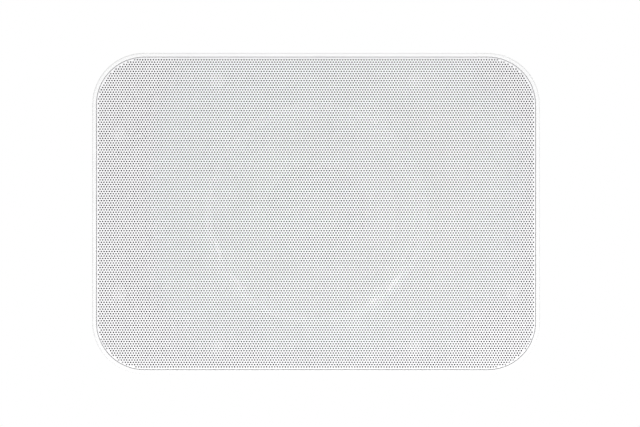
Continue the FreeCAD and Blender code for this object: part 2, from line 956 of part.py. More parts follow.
def tweeter_bolt():
    """Long hexagon-headed bolt through the yoke and the post."""
    thread_front = tweeter_cup_back - tweeter_bolt_thread + screw_play
    shank = disc(tweeter_bolt_radius, thread_front, yoke_back)
    head = hexagon(
        tweeter_bolt_head_radius * math.sqrt(3), yoke_back, yoke_back + tweeter_bolt_head_height
    )
    return shank.fuse(head).removeSplitter()


def crossover_board():
    """Circuit board on four standoffs."""
    board = slab(board_width, board_height, 2, board_front, board_back, board_x)
    holes = [
        disc(board_screw_radius + hole_play, board_front, board_back, x, z) for x, z in standoff_places()
    ]
    return board.cut(Part.makeCompound(holes))


def crossover_parts():
    """Coil, capacitors and resistor on the board's front face."""
    coil_front = board_front - inductor_cheek
    coil_end = coil_front - inductor_length
    core = inductor_core_radius
    bobbin = turned(
        [
            (core - inductor_bobbin_wall, board_front),
            (inductor_radius, board_front),
            (inductor_radius, coil_front),
            (core, coil_front),
            (core, coil_end),
            (inductor_radius, coil_end),
            (inductor_radius, coil_end - inductor_cheek),
            (core - inductor_bobbin_wall, coil_end - inductor_cheek),
        ],
        board_x,
        inductor_z,
    )
    winding = tube(inductor_radius - 1, core + glue_clearance, coil_end, coil_front, board_x, inductor_z)
    resistor = block(
        board_x, resistor_z, resistor_length, resistor_width, board_front - resistor_height, board_front
    )
    return {
        "inductor_bobbin": bobbin,
        "inductor_winding": winding,
        "woofer_capacitor": capacitor(woofer_capacitor_radius, woofer_capacitor_length, -1),
        "tweeter_capacitor": capacitor(tweeter_capacitor_radius, tweeter_capacitor_length, 1),
        "crossover_resistor": resistor.makeFillet(
            0.8, [e for e in resistor.Edges if abs(e.Vertexes[0].Y - e.Vertexes[1].Y) > 1]
        ),
    }


def capacitor(radius, length, side):
    """Radial capacitor can with a crimped groove near its seal."""
    foot, groove = 2.0, 0.6
    top = board_front - length
    return turned(
        [
            (0, board_front),
            (radius, board_front),
            (radius, board_front - foot),
            (radius - groove, board_front - foot - groove),
            (radius, board_front - foot - 2 * groove),
            (radius, top + groove),
            (radius - groove, top),
            (0, top),
        ],
        board_x + side * capacitor_spacing / 2,
        capacitor_z,
    )


def board_screws():
    """Screws that hold the crossover board to its standoffs."""
    return Part.makeCompound(
        [
            pan_screw(
                board_screw_radius,
                board_screw_length,
                board_screw_head_radius,
                board_screw_head_height,
                board_front,
                x,
                z,
            )
            for x, z in standoff_places()
        ]
    )


def terminal_cup():
    """Moulded cup let into the back, with a flange outside and the binding posts in its floor."""
    grow = 2 * cup_wall
    body = slab(
        cup_width + grow, cup_height + grow, cup_corner + cup_wall, cup_floor_inside, cup_mouth, terminal_x
    )
    grow = 2 * cup_flange_width
    flange = slab(
        cup_width + grow, cup_height + grow, cup_flange_corner, cup_flange_front, cup_mouth, terminal_x
    )
    flange = round_edges(flange, cup_edge_round, cup_mouth)
    cuts = [slab(cup_width, cup_height, cup_corner, cup_floor, cup_mouth, terminal_x)]
    cuts += [
        disc(stud_radius + screw_play, cup_floor_inside, cup_floor, x, z)
        for x, z in post_places().values()
    ]
    cuts += [
        disc(terminal_screw_radius + hole_play, cup_flange_front, cup_mouth, x, z)
        for x, z in terminal_screw_places()
    ]
    return body.fuse(flange).removeSplitter().cut(Part.makeCompound(cuts))


def terminal_gasket():
    """Foam frame under the terminal cup's flange."""
    grow = 2 * cup_flange_width
    frame = slab(
        cup_width + grow, cup_height + grow, cup_flange_corner, cabinet_depth, cup_flange_front, terminal_x
    )
    grow = 2 * (cup_wall + cup_clearance)
    opening_corner = cup_corner + cup_wall + cup_clearance
    cuts = [
        slab(cup_width + grow, cup_height + grow, opening_corner, cabinet_depth, cup_flange_front, terminal_x)
    ]
    cuts += [
        disc(terminal_screw_radius + hole_play, cabinet_depth, cup_flange_front, x, z)
        for x, z in terminal_screw_places()
    ]
    return frame.cut(Part.makeCompound(cuts))


def terminal_screws():
    """Screws that hold the terminal cup to the cabinet."""
    return Part.makeCompound(
        [
            pan_screw(
                terminal_screw_radius,
                terminal_screw_length,
                terminal_screw_head_radius,
                terminal_screw_head_height,
                cup_mouth,
                x,
                z,
                towards=-1,
            )
            for x, z in terminal_screw_places()
        ]
    )


def binding_post(x, z):
    """Threaded stud through the cup floor, cross-drilled for a wire and bored for a plug."""
    stud = disc(stud_radius, cup_floor_inside - stud_inner_length, stud_end, x, z)
    wire_depth = collar_back + wire_hole_radius + 1
    reach = 2 * stud_radius
    drill = Part.makeCylinder(wire_hole_radius, reach, point(x - stud_radius, wire_depth, z), ACROSS)
    socket = disc(socket_radius, stud_end - socket_depth, stud_end, x, z)
    return stud.cut(Part.makeCompound([drill, socket]))


def post_collar(x, z):
    """Coloured insulating collar on the cup floor."""
    edge = 0.6
    bore = stud_radius + screw_play
    return turned(
        [
            (bore, cup_floor),
            (collar_radius, cup_floor),
            (collar_radius, collar_back - edge),
            (collar_radius - edge, collar_back),
            (bore, collar_back),
        ],
        x,
        z,
    )


def thumb_nut(x, z):
    """Fluted nut that clamps the wire against the collar, open at the end for a plug."""
    bore = stud_radius + nut_play
    mouth = socket_radius + socket_play
    end = stud_end + nut_play
    edge = 0.8
    body = turned(
        [
            (bore, collar_back),
            (nut_radius, collar_back),
            (nut_radius, end + nut_cap - edge),
            (nut_radius - edge, end + nut_cap),
            (mouth, end + nut_cap),
            (mouth, end),
            (bore, end),
        ],
        x,
        z,
    )
    flute_front = collar_back + 2
    flute = disc(nut_flute_radius, flute_front, end + nut_cap, x, z + nut_radius + nut_flute_radius * 0.4)
    flutes = [about_axis(flute, 360 / nut_flutes * i, x, z) for i in range(nut_flutes)]
    return body.cut(Part.makeCompound(flutes))


def terminal_hardware():
    """Studs, collars, thumb nuts, and the nuts and solder tags inside."""
    parts = {}
    tag_front = cup_floor_inside - tag_thickness
    nuts, tags = [], []
    bore = stud_radius + screw_play
    for pole, (x, z) in post_places().items():
        parts[f"{pole}_post"] = binding_post(x, z)
        parts[f"{pole}_collar"] = post_collar(x, z)
        parts[f"{pole}_thumb_nut"] = thumb_nut(x, z)
        ring = disc(tag_width / 2 + 1.5, tag_front, cup_floor_inside, x, z)
        tail = block(x - tag_length / 2, z, tag_length, tag_width * 0.7, tag_front, cup_floor_inside)
        tags.append(ring.fuse(tail).removeSplitter().cut(disc(bore, tag_front, cup_floor_inside, x, z)))
        nut = hexagon(post_nut_across_flats, tag_front - post_nut_height, tag_front, x, z)
        nuts.append(nut.cut(disc(bore, tag_front - post_nut_height, tag_front, x, z)))
    parts["terminal_hex_nuts"] = Part.makeCompound(nuts)
    parts["solder_tags"] = Part.makeCompound(tags)
    return parts


def threaded_inserts():
    """Brass inserts in the cabinet's back for the bracket screws."""
    bore = bracket_screw_radius + screw_play
    front = cabinet_depth - insert_length
    return Part.makeCompound(
        [
            tube(insert_radius, bore, front, cabinet_depth, x, z)
            for x, z in corner_places(insert_spacing_x, insert_spacing_z)
        ]
    )


def bracket_screws():
    """Screws through the speaker bracket into the inserts."""
    length = bracket_screw_engagement + bracket_steel
    return Part.makeCompound(
        [
            pan_screw(
                bracket_screw_radius,
                length,
                bracket_screw_head_radius,
                bracket_screw_head_height,
                speaker_plate_back,
                x,
                z,
                towards=-1,
            )
            for x, z in corner_places(insert_spacing_x, insert_spacing_z)
        ]
    )


def ear(side, inner, root_depth):
    """Upright ear from a plate at the root depth to the pivot, with a round tip and the pivot hole."""
    foot = ear_foot / 2
    x = inner if side > 0 else -inner - bracket_steel
    towards = 1 if pivot_depth > root_depth else -1
    tip = point(x, pivot_depth, 0)
    outline = [
        point(x, root_depth, -foot),
        point(x, root_depth, foot),
        point(x, pivot_depth, ear_tip_radius),
        point(x, pivot_depth + towards * ear_tip_radius, 0),
        point(x, pivot_depth, -ear_tip_radius),
    ]
    edges = [
        Part.LineSegment(outline[0], outline[1]).toShape(),
        Part.LineSegment(outline[1], outline[2]).toShape(),
        Part.Arc(outline[2], outline[3], outline[4]).toShape(),
        Part.LineSegment(outline[4], outline[0]).toShape(),
    ]
    blank = Part.Face(Part.Wire(edges)).extrude(ACROSS * bracket_steel)
    return blank.cut(Part.makeCylinder(pivot_radius + pivot_play, bracket_steel, tip, ACROSS))


def weld_ears(plate, ears, root_depth):
    """Joins two ears to a plate, with a weld fillet along each foot."""
    level = point(0, root_depth, 0).y
    joined = plate.multiFuse(ears).removeSplitter()
    roots = [
        e
        for e in joined.Edges
        if abs(e.Length - ear_foot) < 0.01 and all(abs(v.Point.y - level) < 1e-6 for v in e.Vertexes)
    ]
    return joined.makeFillet(weld_round, roots)


def speaker_bracket():
    """Pressed plate on the cabinet's back with two ears."""
    plate = slab(
        speaker_plate_width, speaker_plate_height, speaker_plate_corner, cabinet_depth, speaker_plate_back
    )
    plate = round_edges(plate, bracket_edge_round, speaker_plate_back)
    ears = [ear(side, ear_inner, speaker_plate_back) for side in SIDES]
    holes = [
        disc(bracket_screw_radius + hole_play, cabinet_depth, speaker_plate_back, x, z)
        for x, z in corner_places(insert_spacing_x, insert_spacing_z)
    ]
    return weld_ears(plate, ears, speaker_plate_back).cut(Part.makeCompound(holes))


def wall_bracket():
    """Wall plate with two ears outside those of the speaker bracket."""
    plate = slab(wall_plate_width, wall_plate_height, wall_plate_corner, wall_plate_front, overall_depth)
    plate = round_edges(plate, bracket_edge_round, wall_plate_front)
    ears = [ear(side, wall_ear_inner, wall_plate_front) for side in SIDES]
    holes = [
        disc(wall_hole_radius, wall_plate_front, overall_depth, x, z)
        for x, z in corner_places(wall_hole_spacing_x, wall_hole_spacing_z)
    ]
    return weld_ears(plate, ears, wall_plate_front).cut(Part.makeCompound(holes))


def across_bar(shape):
    """Turns a piece made along the depth on the pivot line so that it lies across, along X."""
    copy = shape.copy()
    copy.rotate(point(0, pivot_depth, 0), FreeCAD.Vector(0, 0, 1), -90)
    return copy


def pivot_hardware():
    """Bolt, lock nut and friction washers on the pivot line."""
    head_from = pivot_depth - wall_ear_outer - pivot_head_height
    nut_from = pivot_depth + wall_ear_outer
    end = nut_from + pivot_nut_height + pivot_thread_proud
    bolt = hexagon(pivot_head_across_flats, head_from, head_from + pivot_head_height)
    bolt = bolt.fuse(disc(pivot_radius, head_from + pivot_head_height, end)).removeSplitter()
    nut = hexagon(pivot_head_across_flats, nut_from, nut_from + pivot_nut_height)
    nut = nut.cut(disc(pivot_radius + pivot_play, nut_from, nut_from + pivot_nut_height))
    washers = [
        tube(washer_radius, pivot_radius + pivot_play, start, start + washer_thickness)
        for start in (pivot_depth + ear_outer, pivot_depth - wall_ear_inner)
    ]
    return {
        "pivot_bolt": across_bar(bolt),
        "pivot_nut": across_bar(nut),
        "pivot_washers": across_bar(Part.makeCompound(washers)),
    }


def all_parts():
    """Every piece by name."""
    single = [
        grille,
        front_baffle,
        baffle_gasket,
        baffle_screws,
        cabinet,
        driver_basket,
        driver_gasket,
        driver_screws,
        woofer_trim_ring,
        woofer_surround,
        woofer_cone,
        spider,
        voice_coil_former,
        voice_coil_winding,
        top_plate,
        ferrite_magnet,
        pole_yoke,
        tweeter_waveguide,
        tweeter_dome,
        tweeter_cup,
        tweeter_post,
        tweeter_bolt,
        crossover_board,
        board_screws,
        terminal_cup,
        terminal_gasket,
        terminal_screws,
        threaded_inserts,
        speaker_bracket,
        bracket_screws,
        wall_bracket,
    ]
    parts = {make.__name__: make() for make in single}
    for several in (magnets, tweeter_motor, crossover_parts, terminal_hardware, pivot_hardware):
        parts.update(several())
    return parts


def main():
    os.makedirs("parts", exist_ok=True)
    for name, shape in all_parts().items():
        shape.exportStep(f"parts/{name}.step")


main()
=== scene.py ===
import math
from typing import NamedTuple

import bmesh
import bpy
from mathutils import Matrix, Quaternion, Vector


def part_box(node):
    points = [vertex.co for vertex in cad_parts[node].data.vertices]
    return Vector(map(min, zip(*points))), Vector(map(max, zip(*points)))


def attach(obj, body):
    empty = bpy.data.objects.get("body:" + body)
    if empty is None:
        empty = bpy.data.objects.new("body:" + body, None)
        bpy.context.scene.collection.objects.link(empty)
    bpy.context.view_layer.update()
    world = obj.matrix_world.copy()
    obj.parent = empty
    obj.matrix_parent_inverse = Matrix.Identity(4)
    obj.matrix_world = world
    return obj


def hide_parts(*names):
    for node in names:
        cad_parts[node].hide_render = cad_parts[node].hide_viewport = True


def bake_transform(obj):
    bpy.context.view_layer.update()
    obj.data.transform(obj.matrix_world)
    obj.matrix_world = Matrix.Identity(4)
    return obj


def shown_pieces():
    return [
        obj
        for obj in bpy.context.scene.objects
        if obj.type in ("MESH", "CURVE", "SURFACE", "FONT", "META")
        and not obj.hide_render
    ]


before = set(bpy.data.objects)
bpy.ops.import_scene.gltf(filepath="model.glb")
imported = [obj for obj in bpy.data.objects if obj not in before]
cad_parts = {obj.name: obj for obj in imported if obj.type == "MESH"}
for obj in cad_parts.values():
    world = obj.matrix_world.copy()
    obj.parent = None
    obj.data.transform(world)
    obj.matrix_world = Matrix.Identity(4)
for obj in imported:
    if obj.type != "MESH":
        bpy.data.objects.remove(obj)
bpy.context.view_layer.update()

MM = 0.001
# The frontmost plane of the cabinet, from which depths are measured towards the wall
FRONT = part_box("cabinet")[0].y
# Points this near are joined, and edges this short are removed, in metres
JOIN_DISTANCE = 1e-6
SPECK = 1e-7
SHARP_EDGE = math.radians(38)


def linked_mesh(name, mesh):
    """Object for a finished mesh, in the scene."""
    obj = bpy.data.objects.new(name, mesh)
    bpy.context.scene.collection.objects.link(obj)
    return obj


def mesh_from(name, points, faces):
    """Smooth-shaded object from points and faces."""
    mesh = bpy.data.meshes.new(name)
    mesh.from_pydata(points, [], faces)
    mesh.validate()
    mesh.polygons.foreach_set("use_smooth", [True] * len(mesh.polygons))
    return linked_mesh(name, mesh)


def clean_mesh(obj):
    """Joins doubled points, turns every face outwards and marks the sharp edges."""
    shape = bmesh.new()
    shape.from_mesh(obj.data)
    bmesh.ops.remove_doubles(shape, verts=shape.verts, dist=JOIN_DISTANCE)
    bmesh.ops.dissolve_degenerate(shape, edges=shape.edges, dist=SPECK)
    bmesh.ops.recalc_face_normals(shape, faces=shape.faces)
    shape.to_mesh(obj.data)
    shape.free()
    obj.data.set_sharp_from_angle(angle=SHARP_EDGE)


def stand_for(obj, body, node):
    """Makes a piece ride on a body in the place of one CAD node."""
    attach(obj, body)
    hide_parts(node)


# Grille

GRILLE_CORNER = 35.75 * MM
GRILLE_BEND = 1.3 * MM
GRILLE_SHEET = 0.9 * MM
GRILLE_COAT = 0.1 * MM
SKIRT_CHAMFER = 0.1 * MM
FIELD_INSET = 0.55 * MM
HOLE_PITCH = 2.0 * MM
HOLE_FLATS = 1.12 * MM
HOLE_EDGE = 0.05 * MM
HOLE_SIDES = 6
# Cells this far outside the edge are left out, and cells this near to it are cut along the outline
SKIP_MARGIN = 2 * HOLE_PITCH
CUT_MARGIN = 3 * HOLE_PITCH
# Rows and columns that are tried past the edge
SPARE_CELLS = 2
CORNER_STEPS = 24
BEND_STEPS = 6
# Grid on which points count as the same
PLACES_PER_METRE = 1e7


class PointStore:
    """Points shared by their rounded place, so that neighbouring faces join."""

    def __init__(self):
        self.places = {}
        self.points = []

    def index(self, x, z, y):
        """Number of the point at a place, which is added if it is new."""
        key = (round(x * PLACES_PER_METRE), round(z * PLACES_PER_METRE), round(y * PLACES_PER_METRE))
        if key not in self.places:
            self.places[key] = len(self.points)
            self.points.append((x, y, z))
        return self.places[key]


def corner_ring(half_width, half_height):
    """Corner centre and direction of each point of the pan's outline, anticlockwise from the right."""
    ring = []
    for quarter, (side_x, side_z) in enumerate(((1, 1), (-1, 1), (-1, -1), (1, -1))):
        centre = (side_x * (half_width - GRILLE_CORNER), side_z * (half_height - GRILLE_CORNER))
        for k in range(CORNER_STEPS + 1):
            turn = math.radians(90 * quarter + 90 * k / CORNER_STEPS)
            ring.append((centre, (math.cos(turn), math.sin(turn))))
    return ring


def inset_outline(ring, inset):
    """Points of the pan's outline, moved inwards."""
    span = GRILLE_CORNER - inset
    return [(centre[0] + span * away[0], centre[1] + span * away[1]) for centre, away in ring]


def clip_to_outline(shape, outline):
    """Part of a convex shape inside a convex anticlockwise outline."""
    for i, (start_x, start_z) in enumerate(outline):
        end_x, end_z = outline[(i + 1) % len(outline)]
        run_x, run_z = end_x - start_x, end_z - start_z
        side = [run_x * (z - start_z) - run_z * (x - start_x) for x, z in shape]
        if min(side) >= 0:
            continue
        if max(side) <= 0:
            return []
        kept = []
        for k, (x, z) in enumerate(shape):
            after = (k + 1) % len(shape)
            next_x, next_z = shape[after]
            if side[k] >= 0:
                kept.append((x, z))
            if (side[k] < 0) != (side[after] < 0):
                share = side[k] / (side[k] - side[after])
                kept.append((x + share * (next_x - x), z + share * (next_z - z)))
        shape = kept
    return shape if len(shape) > 2 else []


def bend_depth(distance):
    """Depth of the sheet's surface at a plan distance inside the pan's outline."""
    past = max(GRILLE_BEND - distance, 0.0)
    return GRILLE_BEND - math.sqrt(GRILLE_BEND**2 - past**2)


class HoleField:
    """Front sheet with a staggered hole at each cell (column, row) that clears the edge by a margin."""

    def __init__(self, store, half_width, half_height, outline):
        self.store = store
        self.half_width = half_width
        self.half_height = half_height
        self.outline = outline
        self.radius = GRILLE_CORNER - FIELD_INSET
        self.row_pitch = HOLE_PITCH * math.sqrt(3) / 2
        self.reach = HOLE_FLATS / math.sqrt(3)
        turns = [math.radians(360 / HOLE_SIDES * k) for k in range(HOLE_SIDES)]
        self.corners = [(self.reach * math.sin(turn), self.reach * math.cos(turn)) for turn in turns]
        self.faces = []
        self.holes = []

    def place(self, cell):
        """Centre of a cell."""
        column, row = cell
        return ((column + (row % 2) / 2) * HOLE_PITCH, (row + 0.5) * self.row_pitch)

    def corner(self, cell, k):
        """Corner k of a cell's hole, clockwise from the top."""
        x, z = self.place(cell)
        across, up = self.corners[k % HOLE_SIDES]
        return (x + across, z + up)

    def room(self, x, z):
        """Distance from a place to the edge of the field, less than zero outside it."""
        past_x = max(abs(x) - (self.half_width - self.radius), 0)
        past_z = max(abs(z) - (self.half_height - self.radius), 0)
        if past_x == 0 and past_z == 0:
            return min(self.half_width - abs(x), self.half_height - abs(z))
        return self.radius - math.hypot(past_x, past_z)

    def depth(self, x, z):
        """Place of the sheet's surface along the depth."""
        return FRONT + bend_depth(self.room(x, z) + FIELD_INSET)

    def add_face(self, shape, near_edge):
        """Adds a flat face of the sheet, cut along the outline where it is near it."""
        if near_edge:
            shape = clip_to_outline(shape, self.outline)
        if shape:
            self.faces.append([self.store.index(x, z, self.depth(x, z)) for x, z in shape])

    def add_cell(self, here):
        """Adds a cell's hole, or its closed face at the edge, and the sheet between it and its neighbours."""
        column, row = here
        room = self.room(*self.place(here))
        if room < -SKIP_MARGIN:
            return
        near = room < CUT_MARGIN
        right = (column + 1, row)
        up_left = (column - 1 + row % 2, row + 1)
        up_right = (column + row % 2, row + 1)
        corner = self.corner
        rim = [corner(here, k) for k in range(HOLE_SIDES, 0, -1)]
        if room < self.reach + HOLE_EDGE:
            self.add_face(rim, True)
        else:
            self.holes.append([(x, z, self.depth(x, z)) for x, z in rim])
        self.add_face([corner(here, 2), corner(right, 4), corner(right, 5), corner(here, 1)], near)
        self.add_face([corner(here, 1), corner(up_right, 3), corner(up_right, 4), corner(here, 0)], near)
        self.add_face([corner(here, 0), corner(up_left, 2), corner(up_left, 3), corner(here, 5)], near)
        self.add_face([corner(right, 5), corner(up_right, 3), corner(here, 1)], near)
        self.add_face([corner(up_right, 4), corner(up_left, 2), corner(here, 0)], near)

    def build(self):
        """Adds every cell that the field can hold."""
        rows = int(self.half_height / self.row_pitch) + SPARE_CELLS
        columns = int(self.half_width / HOLE_PITCH) + SPARE_CELLS
        for row in range(-rows, rows + 1):
            for column in range(-columns, columns + 1):
                self.add_cell((column, row))


def hole_walls(holes):
    """Points and faces of the cut sheet inside its holes."""
    store = PointStore()
    faces = []
    for rim in holes:
        front = [store.index(x, z, y) for x, z, y in rim]
        back = [store.index(x, z, y + GRILLE_SHEET) for x, z, y in rim]
        for k in range(HOLE_SIDES):
            after = (k + 1) % HOLE_SIDES
            faces.append([front[k], front[after], back[after], back[k]])
    return store.points, faces


def edge_profile(depth):
    """Bend, skirt and inner face of the pan, as (inset, depth) from its outline and front."""
    inner_bend = GRILLE_BEND - GRILLE_SHEET
    first = math.asin(1 - FIELD_INSET / GRILLE_BEND)
    profile = []
    for k in range(BEND_STEPS + 1):
        turn = first + (math.pi / 2 - first) * k / BEND_STEPS
        profile.append((GRILLE_BEND * (1 - math.sin(turn)), GRILLE_BEND * (1 - math.cos(turn))))
    profile += [(0, depth - SKIRT_CHAMFER), (SKIRT_CHAMFER, depth), (GRILLE_SHEET, depth)]
    for k in range(BEND_STEPS, -1, -1):
        turn = math.radians(90 * k / BEND_STEPS)
        inset = GRILLE_SHEET + inner_bend * (1 - math.sin(turn))
        profile.append((inset, GRILLE_SHEET + inner_bend * (1 - math.cos(turn))))
    return profile


def folded_edge(store, ring, depth):
    """Faces of the folded edge, swept round the outline."""
    rows = []
    for inset, down in edge_profile(depth):
        rows.append([store.index(x, z, FRONT + down) for x, z in inset_outline(ring, inset)])
    faces = []
    for upper, lower in zip(rows, rows[1:]):
        for k in range(len(ring)):
            after = (k + 1) % len(ring)
            faces.append([lower[k], lower[after], upper[after], upper[k]])
    return faces


def build_grille():
    """Pan of perforated sheet at the real pitch."""
    low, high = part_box("grille")
    half_width = (high.x - low.x) / 2 + GRILLE_COAT
    half_height = (high.z - low.z) / 2 + GRILLE_COAT
    ring = corner_ring(half_width, half_height)
    outline = inset_outline(ring, FIELD_INSET)
    store = PointStore()
    field = HoleField(store, half_width - FIELD_INSET, half_height - FIELD_INSET, outline)
    field.build()
    faces = field.faces + folded_edge(store, ring, high.y - low.y)
    sides = {
        "grille_hole_walls_left": [rim for rim in field.holes if rim[0][0] < 0],
        "grille_hole_walls_right": [rim for rim in field.holes if rim[0][0] >= 0],
    }
    pieces = [mesh_from("grille_perforated", store.points, faces)]
    pieces += [mesh_from(name, *hole_walls(holes)) for name, holes in sides.items()]
    for piece in pieces:
        stand_for(piece, "speaker", "grille")


# Surround and spider

# The surround's radii, depths from the front and wall are in millimetres
SURROUND_WALL = 0.8
SURROUND_RIM = 84.0
SURROUND_LIP = 60.5
ROLL_OUTER = (75.4, 13.2)
ROLL_CREST = (69.5, 6.8)
ROLL_INNER = (63.6, 17.0)
ROLL_STEPS = 20
ROLL_SEGMENTS = 120
SPIDER_SECTORS = 12


def arc_points(start, middle, end, steps):
    """Points along the circle through three (radius, depth) points, from the first to the last."""
    ax, ay = start
    bx, by = middle
    cx, cy = end
    spread = 2 * (ax * (by - cy) + bx * (cy - ay) + cx * (ay - by))
    a_square = ax * ax + ay * ay
    b_square = bx * bx + by * by
    c_square = cx * cx + cy * cy
    centre_x = (a_square * (by - cy) + b_square * (cy - ay) + c_square * (ay - by)) / spread
    centre_y = (a_square * (cx - bx) + b_square * (ax - cx) + c_square * (bx - ax)) / spread
    first = math.atan2(ay - centre_y, ax - centre_x)
    halfway = math.atan2(by - centre_y, bx - centre_x)
    last = math.atan2(cy - centre_y, cx - centre_x)
    if (halfway - first) % math.tau > (last - first) % math.tau:
        sweep = -((first - last) % math.tau)
    else:
        sweep = (last - first) % math.tau
    radius = math.hypot(ax - centre_x, ay - centre_y)
    turns = [first + sweep * k / steps for k in range(steps + 1)]
    return [(centre_x + radius * math.cos(turn), centre_y + radius * math.sin(turn)) for turn in turns]


def lathe(name, profile, segments):
    """Closed ring turned about the depth axis from a (radius, depth) profile in millimetres."""
    points, faces = [], []
    count = len(profile)
    for k in range(segments):
        turn = math.tau * k / segments
        after = (k + 1) % segments
        for i, (radius, depth) in enumerate(profile):
            j = (i + 1) % count
            points.append((radius * MM * math.sin(turn), FRONT + depth * MM, radius * MM * math.cos(turn)))
            faces.append([k * count + i, k * count + j, after * count + j, after * count + i])
    obj = mesh_from(name, points, faces)
    clean_mesh(obj)
    return obj


def build_surround():
    """Rubber half roll with a lip on its inner leg, turned from its profile."""
    wall = SURROUND_WALL
    outer_radius, outer_depth = ROLL_OUTER
    crest_radius, crest_depth = ROLL_CREST
    inner_radius, inner_depth = ROLL_INNER
    back_inner = (inner_radius + wall, inner_depth + wall)
    back_crest = (crest_radius, crest_depth + wall)
    back_outer = (outer_radius - wall, outer_depth + wall)
    profile = [(SURROUND_RIM, outer_depth)]
    profile += arc_points(ROLL_OUTER, ROLL_CREST, ROLL_INNER, ROLL_STEPS)
    profile += [(SURROUND_LIP, inner_depth), (SURROUND_LIP, inner_depth + wall)]
    profile += arc_points(back_inner, back_crest, back_outer, ROLL_STEPS)
    profile += [(SURROUND_RIM, outer_depth + wall)]
    surround = lathe("surround_roll", profile, ROLL_SEGMENTS)
    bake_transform(surround)
    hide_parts("woofer_surround")


def disc_sector(disc, turn, half):
    """Closed wedge of a disc about the depth axis."""
    shape = bmesh.new()
    shape.from_mesh(disc.data)
    bmesh.ops.remove_doubles(shape, verts=shape.verts, dist=JOIN_DISTANCE)
    for side in (-1, 1):
        edge = turn + side * half
        outwards = Vector((math.cos(edge), 0, -math.sin(edge))) * side
        whole = shape.verts[:] + shape.edges[:] + shape.faces[:]
        bmesh.ops.bisect_plane(shape, geom=whole, plane_co=(0, 0, 0), plane_no=outwards, clear_outer=True)
    bmesh.ops.holes_fill(shape, edges=[edge for edge in shape.edges if edge.is_boundary])
    mesh = bpy.data.meshes.new("sector")
    shape.to_mesh(mesh)
    shape.free()
    return mesh


def build_spider():
    """Cloth disc cut into sectors, each reaching from its seat on the frame to the coil."""
    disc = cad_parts["spider"]
    half = math.pi / SPIDER_SECTORS
    for k in range(SPIDER_SECTORS):
        turn = 2 * half * k
        sector = linked_mesh(f"spider_sector_{k + 1}", disc_sector(disc, turn, half))
        clean_mesh(sector)
        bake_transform(sector)
        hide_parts("spider")


# Fasteners


class Screw(NamedTuple):
    """Radius and length of the shank, radius and height of the head, in millimetres."""

    shank: float
    length: float
    head: float
    height: float


BAFFLE_SCREW = Screw(1.75, 15.0, 4.0, 2.6)
DRIVER_SCREW = Screw(1.9, 11.0, 3.4, 2.2)
BRACKET_SCREW = Screw(3.0, 12.0, 5.2, 3.3)
TERMINAL_SCREW = Screw(1.45, 12.0, 2.7, 1.8)
# Depths of the faces that the heads sit on, and places of the screws, in millimetres
BAFFLE_FACE = 14.0
BRACKET_FACE = 163.0
TERMINAL_FACE = 163.5
BAFFLE_SCREW_GRID = 112.0
BAFFLE_SCREW_SIDE = 159.5
DRIVER_SCREW_CIRCLE = 88.0
DRIVER_SCREW_COUNT = 6
BRACKET_SPACING = (42.0, 56.0)
TERMINAL_SPACING = (52.6, 68.6)
TERMINAL_X = 74.0
# Parts of a screw as shares of its head's radius, its head's height or its shank's radius
RECESS_REACH = 0.5
RECESS_HALF_SLOT = 0.13
RECESS_BULGE = 1.04
RECESS_FLOOR = 0.6
RECESS_DEPTH = 0.6
HEAD_DOME = ((0.56, 0.0), (0.82, 0.26), (0.97, 0.54))
HEAD_EDGE = 0.35
SHANK_TIP = 0.6
# Turn of the recess on the first screw of a group, and from each screw to the next, in radians
FIRST_SPIN = 0.4
SPIN_STEP = 1.1
# Bolt and nut of the pivot, in millimetres, with places along X from the middle
PIVOT_Y = -22.0
PIVOT_FLATS = 13.0
PIVOT_SEGMENTS = 48
BOLT_RADIUS = 4.0
BOLT_TIP_RADIUS = 3.4
BOLT_HEAD_END = -23.3
BOLT_HEAD_SEAT = -18.0
BOLT_TIP_START = 26.4
BOLT_END = 27.0
NUT_BORE = 4.05
NUT_SEAT = 18.0
NUT_END = 25.5
# Chamfer on six-sided ends: the share of the half width where it starts, and its angle
CHAMFER_START = 0.97
CHAMFER_ANGLE = math.radians(30)


def along_depth(x, z):
    """Function from (across, up, depth) of a screw at (x, z) to a place in the scene."""
    return lambda across, up, depth: (x * MM + across * MM, FRONT + depth * MM, z * MM + up * MM)


def along_pivot(across, up, along):
    """Place in the scene of a point about the pivot line, which lies along X."""
    return (along * MM, PIVOT_Y * MM + across * MM, up * MM)


def skin(points, faces, rings, place_of, capped=True):
    """Adds a skin over rings of equal count, closed at both ends if it is capped."""
    count = len(rings[0])
    start = len(points)
    last = start + (len(rings) - 1) * count
    for ring in rings:
        points.extend(place_of(*spot) for spot in ring)
    for low in range(start, last, count):
        high = low + count
        for k in range(count):
            after = (k + 1) % count
            faces.append([low + k, low + after, high + after, high + k])
    if capped:
        faces.append([start + k for k in range(count)])
        faces.append([last + k for k in range(count)])


def circle(turns, radius, along):
    """Points of a circle at the given turns."""
    return [(radius * math.sin(turn), radius * math.cos(turn), along) for turn in turns]


def turned(spots, cosine, sine):
    """Spots turned about the middle."""
    return [(across * cosine + up * sine, up * cosine - across * sine) for across, up in spots]


def cross_outline(reach, half_slot):
    """Outline of a cross recess, with a point in the middle of each edge."""
    halfway = (reach + half_slot) / 2
    quarter = [
        (-half_slot, reach),
        (0, reach * RECESS_BULGE),
        (half_slot, reach),
        (half_slot, halfway),
        (half_slot, half_slot),
        (halfway, half_slot),
    ]
    spots = []
    for cosine, sine in ((1, 0), (0, 1), (-1, 0), (0, -1)):
        spots += turned(quarter, cosine, sine)
    return spots


